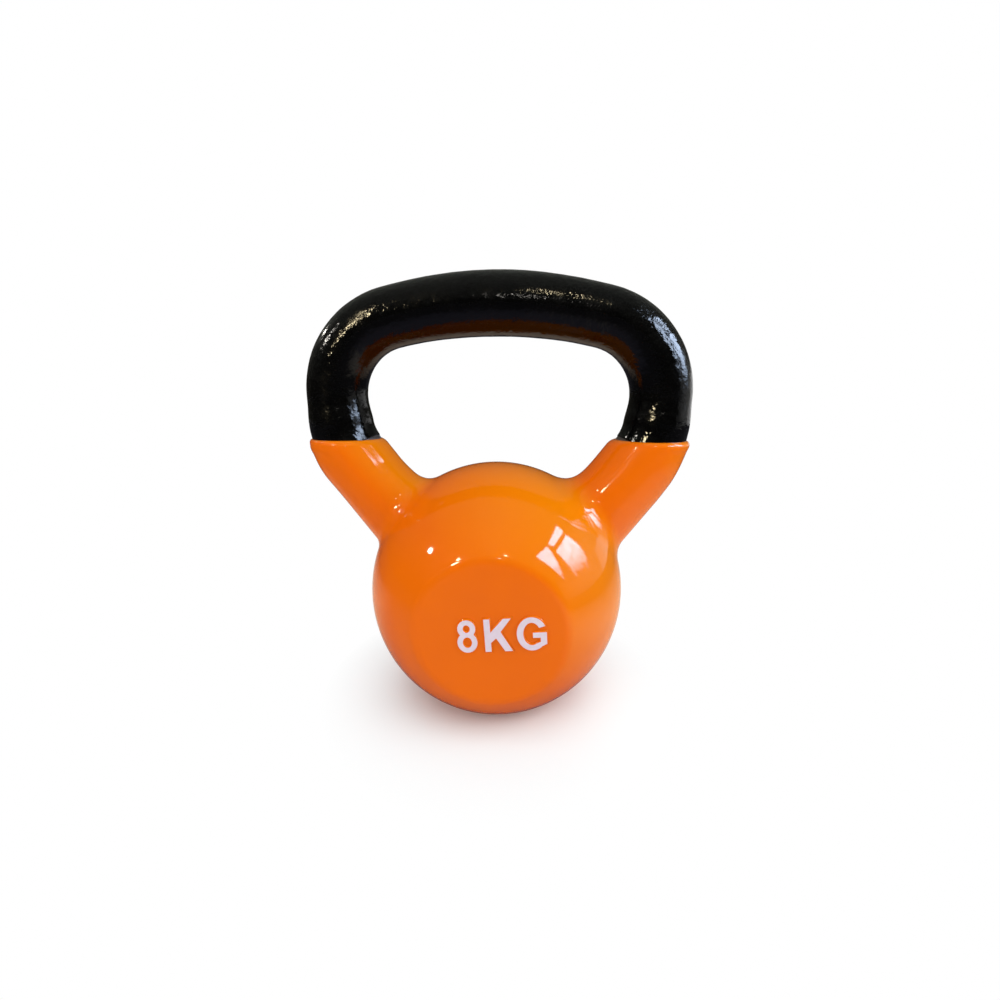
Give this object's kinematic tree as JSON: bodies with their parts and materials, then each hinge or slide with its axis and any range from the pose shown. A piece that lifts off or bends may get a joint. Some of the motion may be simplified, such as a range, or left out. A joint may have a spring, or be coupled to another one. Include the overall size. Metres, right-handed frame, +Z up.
{
  "type": "kettlebell",
  "caption": "Vinyl-dipped cast-iron kettlebell for swings and lifts: ball with two flats and a flat base, and a black enamelled loop handle.",
  "frame": {"origin": "centre of the flat base, on the surface it stands on", "axes": "+Z up through the ball to the handle; X along the handle bar; the front flat of the ball, with the weight mark, faces -Y"},
  "size_m": [0.1812, 0.107, 0.2028],
  "materials": {
    "iron": "matte",
    "vinyl": "gloss",
    "enamel": "gloss",
    "mark_ink": "satin"
  },
  "bodies": {
    "root": {"iron_casting": "iron", "handle_enamel": "enamel", "vinyl_coat": "vinyl"}
  },
  "joints": []
}
